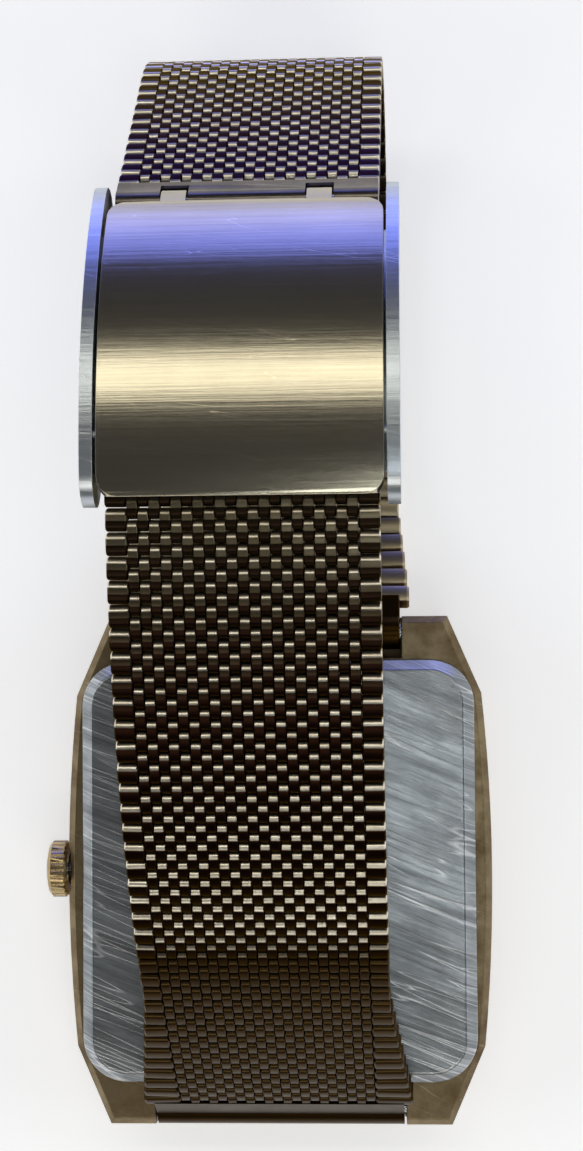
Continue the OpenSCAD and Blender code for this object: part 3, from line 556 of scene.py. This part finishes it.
def rising_path():
    """The 6 o'clock strap: a lead out of the lug, a straight run and two bends into the clasp."""
    lead, lead_turn = 7.0, -13.0
    slow, slow_turn = 16.8, 12.0
    tail_turn = 50.0
    start = (-LUG_Y, LUG_Z, 66.0)
    rise = start[2] + lead_turn
    fast_turn = rise - slow_turn + ENTRY_AT
    lead_end = step(start, lead, lead_turn)
    entry = on_clasp(TAIL_RADIUS, ENTRY_AT)
    slow_move = [chord(slow, slow_turn) * v for v in unit(rise - slow_turn / 2)]
    run_dir = unit(rise)
    fast_dir = unit(rise - slow_turn - fast_turn / 2)
    gap = (entry[0] - lead_end[0] - slow_move[0], entry[1] - lead_end[1] - slow_move[1])
    run = cross(gap, fast_dir) / cross(run_dir, fast_dir)
    fast_chord = cross(run_dir, gap) / cross(run_dir, fast_dir)
    fast = fast_chord * math.radians(fast_turn) / 2 / math.sin(math.radians(fast_turn) / 2)
    path = [(lead, lead_turn), (run, 0.0), (slow, -slow_turn), (fast, -fast_turn),
            (math.radians(tail_turn) * TAIL_RADIUS, -tail_turn)]
    return start, path, lead + run + slow + fast


def falling_path():
    """The 12 o'clock strap: down to the table, along it, round the big bend, up to the clasp."""
    drop_turn, drop_radius = 26.0, 8.0
    bend_turn, bend_radius = 130.0, 10.5
    start = (LUG_Y, LUG_Z, -drop_turn)
    low = THICK / 2 + 0.03
    drop_sin, drop_cos = math.sin(math.radians(drop_turn)), math.cos(math.radians(drop_turn))
    bend_sin, bend_cos = math.sin(math.radians(bend_turn)), math.cos(math.radians(bend_turn))
    hinge = on_clasp(HINGE_RADIUS, HINGE_AT)
    drop = (LUG_Z - low - drop_radius * (1 - drop_cos)) / drop_sin
    bend_end = low + bend_radius * (1 - bend_cos)
    top = (hinge[1] - bend_end) / bend_sin
    bend_y = hinge[0] - top * bend_cos - bend_radius * bend_sin
    flat = bend_y - LUG_Y - drop * drop_cos - drop_radius * drop_sin
    path = [(drop, 0.0), (drop_radius * math.radians(drop_turn), drop_turn), (flat, 0.0),
            (bend_radius * math.radians(bend_turn), bend_turn), (top, 0.0)]
    return start, path, sum(length for length, _ in path)


ROWS_6 = [8, 6, 6, 6, 6, 4, 11]
ROWS_12 = [4, 4, 6, 6, 3, 3, 3, 3, 3, 6, 5]
start_6, path_6, length_6 = rising_path()
start_12, path_12, length_12 = falling_path()
first_6 = length_6 - sum(ROWS_6[:-1]) * PITCH + 0.9
first_12 = length_12 - 1.9 - sum(ROWS_12) * PITCH + HALF_PITCH
print("strap lengths", round(length_6, 3), round(length_12, 3))

# %% [markdown]
# One brick is a small block with well rounded ends, where it turns on its pins, and crisp sides.
# One end of each brick is painted bright, a painted highlight, and the rest is painted dark, a
# painted shade. A point value called painted_glint goes from 0 at the painted shade to 1 at the
# painted highlight, and the finish reads it. With more than two thousand bricks, each has only a
# few dozen faces. The pins that hold them are thin rods.

# %% Link and pin shapes
# Outline points: share of half the length, share of the depth, and painted_glint, from painted
# shade (0) to painted highlight (1).
OUTER_SIDE = ((0.045, 0.0, 0.42), (0.44, 0.0, 0.46), (0.68, 0.045, 0.80), (0.85, 0.145, 1.0),
              (0.955, 0.28, 1.0), (1.0, 0.45, 0.75))
INNER_SIDE = ((1.0, 0.30, 0.6), (0.86, 0.06, 0.5), (0.55, 0.0, 0.2))


def brick(name, width, length, thick, round_side):
    """Draws the side view as share of half the length, depth and painted glint (the painted
    highlight or shade), then gives it its width.
    """
    outer = [(length / 2 * y, thick / 2 - z, painted_glint) for y, z, painted_glint in OUTER_SIDE]
    inner = [(length / 2 * y, z - thick / 2, painted_glint) for y, z, painted_glint in INNER_SIDE]
    front = outer + inner
    # The rear half of the brick gets painted shade: painted_glint 0.10 near the middle and 0.03
    # towards the end.
    rear = [(-y, z, 0.10 if abs(y) < length / 4 else 0.03) for y, z, _ in front]
    outline = front + rear[::-1]
    shape = bmesh.new()
    rim = [shape.verts.new((-width / 2 * MM, y * MM, z * MM)) for y, z, painted_glint in outline]
    grown = bmesh.ops.extrude_face_region(shape, geom=[shape.faces.new(rim)])
    bmesh.ops.translate(shape, vec=(width * MM, 0, 0),
                        verts=[v for v in grown["geom"] if isinstance(v, bmesh.types.BMVert)])
    rims = [e for e in shape.edges
            if abs(e.verts[0].co.x - e.verts[1].co.x) < 0.01 * width * MM]
    bmesh.ops.bevel(shape, geom=rims, offset=round_side * MM, segments=1, affect="EDGES",
                    profile=0.5)
    bmesh.ops.recalc_face_normals(shape, faces=shape.faces)
    mesh = bpy.data.meshes.new(name)
    shape.to_mesh(mesh)
    shape.free()
    # Each vertex takes the painted_glint of its nearest outline point: painted highlight at the
    # bright end, painted shade elsewhere.
    painted_glint = mesh.attributes.new("painted_glint", "FLOAT", "POINT")
    for index, vertex in enumerate(mesh.vertices):
        y, z = vertex.co.y / MM, vertex.co.z / MM
        near = min(outline, key=lambda p: (p[0] - y) ** 2 + (p[1] - z) ** 2)
        painted_glint.data[index].value = near[2]
    mesh.polygons.foreach_set("use_smooth", [True] * len(mesh.polygons))
    mesh.set_sharp_from_angle(angle=math.radians(40))
    return bpy.data.objects.new(name, mesh)


def pin(name, radius, length):
    shape = bmesh.new()
    bmesh.ops.create_cone(shape, cap_ends=True, segments=10, radius1=radius * MM,
                          radius2=radius * MM, depth=length * MM,
                          matrix=Matrix.Rotation(math.pi / 2, 4, "Y"))
    mesh = bpy.data.meshes.new(name)
    shape.to_mesh(mesh)
    shape.free()
    # Pins carry painted_glint 0 everywhere, which is painted shade.
    mesh.attributes.new("painted_glint", "FLOAT", "POINT")
    return bpy.data.objects.new(name, mesh)


inner_brick = brick("inner_brick", COLUMN - 0.03, PITCH - 0.08, THICK - 0.09, 0.045)
edge_brick = brick("edge_brick", EDGE - 0.04, PITCH - 0.08, THICK - 0.10, 0.08)
print("faces in one brick", len(inner_brick.data.polygons))
link_pin = pin("link_pin", 0.16, 2 * STRAP_HALF - 0.8)

# %% [markdown]
# The links are painted bright at one end and nearly black on their faces, which is why the woven
# pattern stands out so strongly. The black is the dark room that the metal mirrors, written into
# this finish as painted shade and painted reflection. Some of that black may be tarnish, and some
# the dark room that the metal mirrors. The violet on the rims is a painted reflection too, so
# under other lamps the real strap may be paler. One picture can't tell how much is which, so the
# dark and the violet tones are written into this finish as they look, and under other lamps the
# real strap may be paler. Three point values carry them. painted_glint is the painted highlight
# at one end and painted shade at the other within one brick. tone runs along the strap and
# carries painted light and shade: 2 is fully lit, 1 pale, 0 dark and -1 a dull olive reflection.
# painted_violet says where the rims of the links get a painted violet reflection. A second
# material could have been made for each stretch, but then the change from one to the next would
# be a hard line.

# %% The links' finish reads painted_glint, tone and painted_violet, its painted light and shade
# Shares of the plating for the faces, as painted shade (DARK) and painted light (PALE). UPPER is
# the half of a brick towards its painted highlight, and LOWER is the other half.
DARK_UPPER, PALE_UPPER = (0.015, 0.0065, 0.0045), (0.22, 0.20, 0.155)
DARK_LOWER, PALE_LOWER = (0.012, 0.0055, 0.0045), (0.020, 0.014, 0.010)
# PAINTED_LIT_FACE is a face painted fully lit. The olive pair is a dull olive painted reflection
# near the six o'clock lug, on the faces and on the ends, where it puts out the painted highlight.
PAINTED_LIT_FACE, OLIVE_FACE, OLIVE_END = (0.55, 0.50, 0.40), (0.046, 0.026, 0.006), (0.060, 0.040, 0.018)
# Tints of the links' reflections: gold, then a painted violet reflection beside the clasp, and
# plain white on the olive stretch.
GOLD_RIM, VIOLET_RIM, PLAIN_RIM = (0.71, 0.61, 0.44, 1), (0.52, 0.50, 0.72, 1), (1, 1, 1, 1)
bronze = FINISH["bronze_links"]
tree = bronze.node_tree
shader = tree.nodes["Principled BSDF"]
plating = shader.inputs["Base Color"].links[0].from_socket


def point_value(tree, name):
    node = tree.nodes.new("ShaderNodeAttribute")
    node.attribute_name = name
    return node.outputs["Fac"]


def tinted(share):
    return blend_colour(tree, 1.0, plating, (*share, 1), "MULTIPLY")


# painted_glint chooses painted highlight or painted shade within a brick, and tone chooses the
# painted light along the strap.
painted_glint = point_value(tree, "painted_glint")
tone = point_value(tree, "tone")
pale = remap(tree, tone, 0.0, 1.0, smooth=True)
painted_lit = remap(tree, tone, 1.0, 2.0, smooth=True)
olive = remap(tree, tone, -0.3, -1.0, smooth=True)
upper_face = blend_colour(tree, pale, tinted(DARK_UPPER), tinted(PALE_UPPER))
lower_face = blend_colour(tree, pale, tinted(DARK_LOWER), tinted(PALE_LOWER))
face = blend_colour(tree, remap(tree, painted_glint, 0.12, 0.40, smooth=True), lower_face, upper_face)
face = blend_colour(tree, painted_lit, face, tinted(PAINTED_LIT_FACE))
face = blend_colour(tree, olive, face, tinted(OLIVE_FACE))
# The bright end is the painted highlight in the plating's colour, turned to dull olive near the
# six o'clock lug.
painted_glint_colour = blend_colour(tree, remap(tree, tone, -0.05, -0.6, smooth=True), plating,
                        tinted(OLIVE_END))
tree.links.new(blend_colour(tree, remap(tree, painted_glint, 0.5, 0.9, smooth=True), face, painted_glint_colour),
               shader.inputs["Base Color"])
# painted_violet turns the rims' tint to a painted violet reflection beside the clasp.
rim = blend_colour(tree, point_value(tree, "painted_violet"), GOLD_RIM, VIOLET_RIM)
tree.links.new(blend_colour(tree, olive, rim, PLAIN_RIM), shader.inputs["Specular Tint"])
print("nodes in the links' finish", len(tree.nodes))

# %% [markdown]
# More than two thousand links and pins could be placed in a Python loop, but Geometry Nodes are
# made for this. Each hinged length is only a cloud of points, and every point says what stands on
# it, how it is turned and how wide it is. The tree sets a brick or a pin on each point, shakes
# it by about a degree with a fixed seed, as worn links are never quite straight, and makes it all
# real.

# %% Geometry Nodes tree that lays the links
def link_tree():
    tree = bpy.data.node_groups.new("brick_links", "GeometryNodeTree")
    face = tree.interface
    face.new_socket("Geometry", in_out="INPUT", socket_type="NodeSocketGeometry")
    face.new_socket("Inner link", in_out="INPUT", socket_type="NodeSocketObject")
    face.new_socket("Edge link", in_out="INPUT", socket_type="NodeSocketObject")
    face.new_socket("Pin", in_out="INPUT", socket_type="NodeSocketObject")
    face.new_socket("Wobble", in_out="INPUT", socket_type="NodeSocketFloat")
    face.new_socket("Finish", in_out="INPUT", socket_type="NodeSocketMaterial")
    face.new_socket("Geometry", in_out="OUTPUT", socket_type="NodeSocketGeometry")
    start = tree.nodes.new("NodeGroupInput")
    end = tree.nodes.new("NodeGroupOutput")
    join = tree.links.new

    def stored(name, kind):
        node = tree.nodes.new("GeometryNodeInputNamedAttribute")
        node.data_type = kind
        node.inputs["Name"].default_value = name
        return node.outputs["Attribute"]

    kind = stored("kind", "INT")
    turn = stored("turn", "FLOAT")
    roll = stored("roll", "FLOAT")
    wide = stored("wide", "FLOAT")
    wobble = tree.nodes.new("FunctionNodeRandomValue")
    wobble.data_type = "FLOAT_VECTOR"
    wobble.inputs["Min"].default_value = (-1, -1, -1)
    wobble.inputs["Max"].default_value = (1, 1, 1)
    wobble.inputs["Seed"].default_value = 12
    shake = tree.nodes.new("ShaderNodeVectorMath")
    shake.operation = "SCALE"
    join(wobble.outputs["Value"], shake.inputs[0])
    join(start.outputs["Wobble"], shake.inputs["Scale"])
    slope = tree.nodes.new("ShaderNodeCombineXYZ")
    join(turn, slope.inputs[0])
    join(roll, slope.inputs[1])
    spin = tree.nodes.new("ShaderNodeVectorMath")
    spin.operation = "ADD"
    join(slope.outputs[0], spin.inputs[0])
    join(shake.outputs[0], spin.inputs[1])
    size = tree.nodes.new("ShaderNodeCombineXYZ")
    join(wide, size.inputs[0])
    size.inputs[1].default_value = 1.0
    size.inputs[2].default_value = 1.0
    merge = tree.nodes.new("GeometryNodeJoinGeometry")
    for number, label in enumerate(("Inner link", "Edge link", "Pin")):
        source = tree.nodes.new("GeometryNodeObjectInfo")
        join(start.outputs[label], source.inputs["Object"])
        same = tree.nodes.new("FunctionNodeCompare")
        same.data_type = "INT"
        same.operation = "EQUAL"
        join(kind, same.inputs[2])
        same.inputs[3].default_value = number
        lay = tree.nodes.new("GeometryNodeInstanceOnPoints")
        join(start.outputs["Geometry"], lay.inputs["Points"])
        join(same.outputs[0], lay.inputs["Selection"])
        join(source.outputs["Geometry"], lay.inputs["Instance"])
        join(spin.outputs[0], lay.inputs["Rotation"])
        join(size.outputs[0], lay.inputs["Scale"])
        join(lay.outputs["Instances"], merge.inputs[0])
    real = tree.nodes.new("GeometryNodeRealizeInstances")
    paint = tree.nodes.new("GeometryNodeSetMaterial")
    join(merge.outputs[0], real.inputs[0])
    join(real.outputs[0], paint.inputs["Geometry"])
    join(start.outputs["Finish"], paint.inputs["Material"])
    join(paint.outputs[0], end.inputs["Geometry"])
    return tree


LINKS = link_tree()
SOCKET = {item.name: item.identifier for item in LINKS.interface.items_tree
          if item.in_out == "INPUT"}


def apply_nodes(piece):
    """Turns the evaluated result into a plain mesh and takes the modifier away."""
    bpy.context.view_layer.update()
    graph = bpy.context.evaluated_depsgraph_get()
    mesh = bpy.data.meshes.new_from_object(piece.evaluated_get(graph))
    piece.modifiers.clear()
    piece.data = mesh


print("inputs of the link tree", ", ".join(SOCKET))

# %% [markdown]
# The bracelet bends at its lug bars and at sixteen of its pins, so it is laid in eighteen lengths,
# and each rides on its own body. In every length, links of the main columns stand half a link
# behind those of the shifted ones. The wide edge links grow towards the lugs.

# %% Lay every length of the bracelet
# Painted light along each strap, as tone by distance from the lug. Six o'clock strap: a dull olive
# painted reflection by the lug, painted shade in the middle and painted light towards the clasp.
# Twelve o'clock strap: fully lit by the lug, fading to painted shade at the clasp.
PAINTED_LIGHT_6 = ((0, -1.0), (17, -0.92), (21, -0.6), (25, -0.05), (29, 0.0), (40, 0.0), (48, 0.35),
          (55, 1.0), (90, 1.0))
PAINTED_LIGHT_12 = ((0, 1.95), (8, 1.85), (26, 0.45), (length_12 - 17, 0.30), (length_12 - 9, 0.0),
           (90, 0.0))
# The painted violet reflection starts this far along the twelve o'clock strap and grows over this
# length.
COLD_FROM, COLD_OVER = length_12 - 17, 13
WOBBLE = math.radians(1.2)
INNER, EDGE_LINK, PIN = 0, 1, 2
POINT_VALUES = (("kind", "INT"), ("turn", "FLOAT"), ("wide", "FLOAT"), ("tone", "FLOAT"),
                ("roll", "FLOAT"), ("painted_violet", "FLOAT"))


def edge_half(s):
    """Half the width of the strap, which flares towards the lug."""
    return STRAP_HALF + FLARE * max(0.0, 1 - s / FLARE_LENGTH)


def tone_of(side, s):
    """Painted light along the strap: 2 is fully lit, 1 pale, 0 dark shade, and -1 a dull olive
    reflection.
    """
    stops = PAINTED_LIGHT_6 if side == 6 else PAINTED_LIGHT_12
    for (a, low), (b, high) in zip(stops, stops[1:]):
        if s <= b:
            return low + (high - low) * (s - a) / (b - a)
    return stops[-1][1]


def painted_violet_of(side, s):
    """How much painted violet reflection the rims get: only beside the clasp, on the 12 o'clock
    strap.
    """
    return 0.0 if side == 6 else min(1.0, max(0.0, (s - COLD_FROM) / COLD_OVER))


def link_points(side, number, rows, start, path, first):
    """Place, kind, turn, width, tone, roll and painted violet of every link and pin of one length.
    """
    points = []
    main = [j * COLUMN for j in range(-9, 10, 2)]
    shifted = [j * COLUMN for j in range(-10, 11, 2)]

    def add(kind, x, s, wide):
        y, z, heading = along(start, path, s)
        turn, roll = (heading, 0) if side == 6 else (-heading, 180)
        points.append(((x * MM, y * MM, z * MM), kind, math.radians(turn), wide,
                       tone_of(side, s), math.radians(roll), painted_violet_of(side, s)))

    first_row = sum(rows[: number - 1])
    for row in range(first_row, first_row + rows[number - 1]):
        on_lug_neck = number == 1 and row == first_row
        s_main = first + 2 * row * HALF_PITCH + HALF_PITCH / 2
        for x in main:
            add(INNER, x, s_main, 1.0)
        if not on_lug_neck:
            for x in shifted:
                add(INNER, x, s_main - HALF_PITCH, 1.0)
        width = edge_half(s_main) - (STRAP_HALF - EDGE)
        for end in (-1, 1):
            add(EDGE_LINK, end * (STRAP_HALF - EDGE + width / 2), s_main, width / EDGE)
        add(PIN, 0, first + 2 * row * HALF_PITCH, 1.0)
        if not on_lug_neck:
            add(PIN, 0, first + (2 * row - 1) * HALF_PITCH, 1.0)
    return points


def lay_length(side, number, rows, start, path, first):
    points = link_points(side, number, rows, start, path, first)
    name = f"strap{side}_{number}"
    mesh = bpy.data.meshes.new(name + "_links")
    mesh.from_pydata([point[0] for point in points], [], [])
    for column, (label, kind) in enumerate(POINT_VALUES, start=1):
        values = mesh.attributes.new(label, kind, "POINT")
        values.data.foreach_set("value", [point[column] for point in points])
    piece = bpy.data.objects.new(name + "_links", mesh)
    bpy.context.scene.collection.objects.link(piece)
    modifier = piece.modifiers.new("links", "NODES")
    modifier.node_group = LINKS
    for label, value in (("Inner link", inner_brick), ("Edge link", edge_brick),
                         ("Pin", link_pin), ("Wobble", WOBBLE), ("Finish", bronze)):
        modifier[SOCKET[label]] = value
    apply_nodes(piece)
    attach(piece, name)
    if number > 1:
        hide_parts(name)
    print(piece.name, len(points), "points", len(piece.data.polygons), "faces")


for number in range(1, len(ROWS_6) + 1):
    lay_length(6, number, ROWS_6, start_6, path_6, first_6)
for number in range(1, len(ROWS_12) + 1):
    lay_length(12, number, ROWS_12, start_12, path_12, first_12)

# %% [markdown]
# At each lug the strap starts with a smooth barrel that turns on the spring bar, and a flat
# neck that carries the first row of links.

# %% Lug barrels
BARREL_RADIUS, BARREL_HALF = 1.25, 9.05
BARREL_STEPS, NECK_STEPS = 24, 4


def lug_barrel(side, start, path, first):
    """A barrel and its neck, drawn from the side and pushed out across the strap."""
    y0, z0, heading = start
    half_thick = THICK / 2
    outline = []
    neck_angle = math.degrees(math.asin(half_thick / BARREL_RADIUS))
    for n in range(BARREL_STEPS + 1):
        turn = neck_angle + (360 - 2 * neck_angle) * n / BARREL_STEPS
        angle = math.radians(heading + turn)
        outline.append((y0 + BARREL_RADIUS * math.cos(angle),
                        z0 + BARREL_RADIUS * math.sin(angle)))
    neck = first - HALF_PITCH + 0.95
    lower, upper = [], []
    for k in range(1, NECK_STEPS + 1):
        y, z, slope = along(start, path, neck * k / NECK_STEPS)
        up_y, up_z = -math.sin(math.radians(slope)), math.cos(math.radians(slope))
        lower.append((y - half_thick * up_y, z - half_thick * up_z))
        upper.append((y + half_thick * up_y, z + half_thick * up_z))
    outline += lower + upper[::-1]
    shape = bmesh.new()
    rim = [shape.verts.new((-BARREL_HALF * MM, y * MM, z * MM)) for y, z in outline]
    grown = bmesh.ops.extrude_face_region(shape, geom=[shape.faces.new(rim)])
    bmesh.ops.translate(shape, vec=(2 * BARREL_HALF * MM, 0, 0),
                        verts=[v for v in grown["geom"] if isinstance(v, bmesh.types.BMVert)])
    bmesh.ops.recalc_face_normals(shape, faces=shape.faces)
    mesh = bpy.data.meshes.new(f"lug_barrel_{side}")
    shape.to_mesh(mesh)
    shape.free()
    mesh.polygons.foreach_set("use_smooth", [True] * len(mesh.polygons))
    mesh.set_sharp_from_angle(angle=math.radians(30))
    piece = bpy.data.objects.new(f"lug_barrel_{side}", mesh)
    bpy.context.scene.collection.objects.link(piece)
    bevel = piece.modifiers.new("edge", "BEVEL")
    bevel.width = 0.1 * MM
    bevel.segments = 2
    bevel.limit_method = "ANGLE"
    # The barrel takes tone -1, the dull olive painted reflection by the lug, and a half-bright
    # painted_glint.
    for label, value in (("painted_glint", 0.46), ("tone", -1.0)):
        values = mesh.attributes.new(label, "FLOAT", "POINT")
        values.data.foreach_set("value", [value] * len(mesh.vertices))
    mesh.materials.append(bronze)
    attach(piece, f"strap{side}_1")
    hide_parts(f"strap{side}_1")
    print(piece.name, len(mesh.polygons), "faces")


lug_barrel(6, start_6, path_6, first_6)
lug_barrel(12, start_12, path_12, first_12)

# %% [markdown]
# The three sample shapes have done their work, so they go. The visual model has to stay inside the
# box of the solid one.

# %% Remove the sample shapes
for sample in (inner_brick, edge_brick, link_pin):
    bpy.data.objects.remove(sample)
